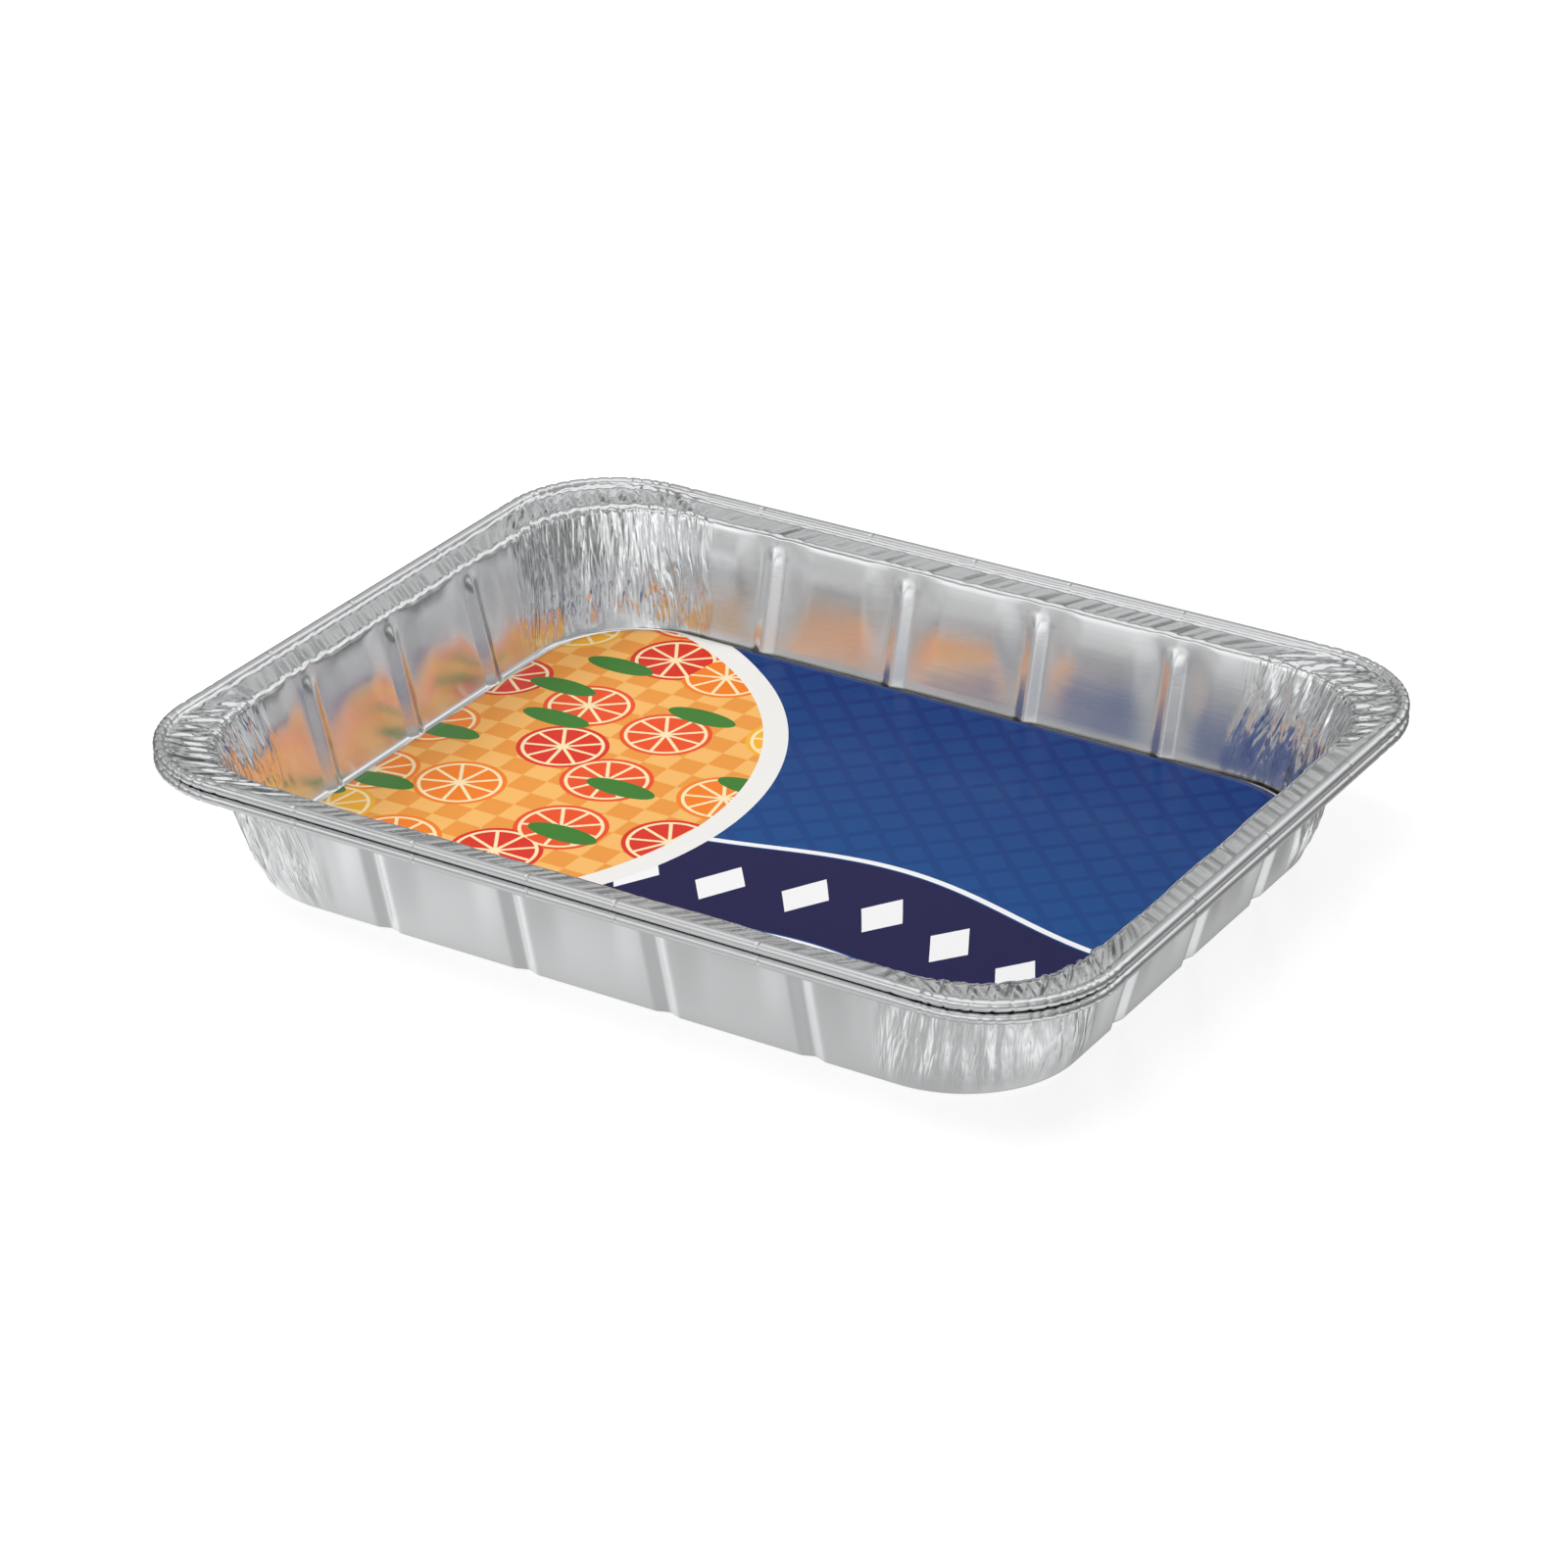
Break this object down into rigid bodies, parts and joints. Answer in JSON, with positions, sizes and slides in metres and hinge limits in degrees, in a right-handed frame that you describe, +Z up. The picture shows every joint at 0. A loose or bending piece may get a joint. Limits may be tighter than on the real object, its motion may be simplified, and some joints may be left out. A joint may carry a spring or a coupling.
{
  "type": "rectangular foil cake pan",
  "caption": "Nested rectangular foil baking pans with ribbed, drafted walls, pleated corners and a rolled rim, with a printed card lying on the base of the upper pan.",
  "frame": {"origin": "middle of the lower pan's footprint, on the plane that the pack stands on", "axes": "+X along the long side, +Y along the short side, +Z up out of the pans"},
  "size_m": [0.322, 0.258, 0.047],
  "materials": {
    "foil": "bright rolled foil",
    "card": "gloss coated printed board"
  },
  "bodies": {
    "lower_pan": {"lower_pan": "foil"},
    "upper_pan": {"upper_pan": "foil"},
    "card_insert": {"card_insert": "card"}
  },
  "joints": [
    {"name": "upper_pan_lift", "type": "slide", "parent": "lower_pan", "child": "upper_pan", "axis": [0, 0, 1], "range_m": [0, 0.06]},
    {"name": "card_lift", "type": "slide", "parent": "upper_pan", "child": "card_insert", "axis": [0, 0, 1], "range_m": [0, 0.06]}
  ]
}
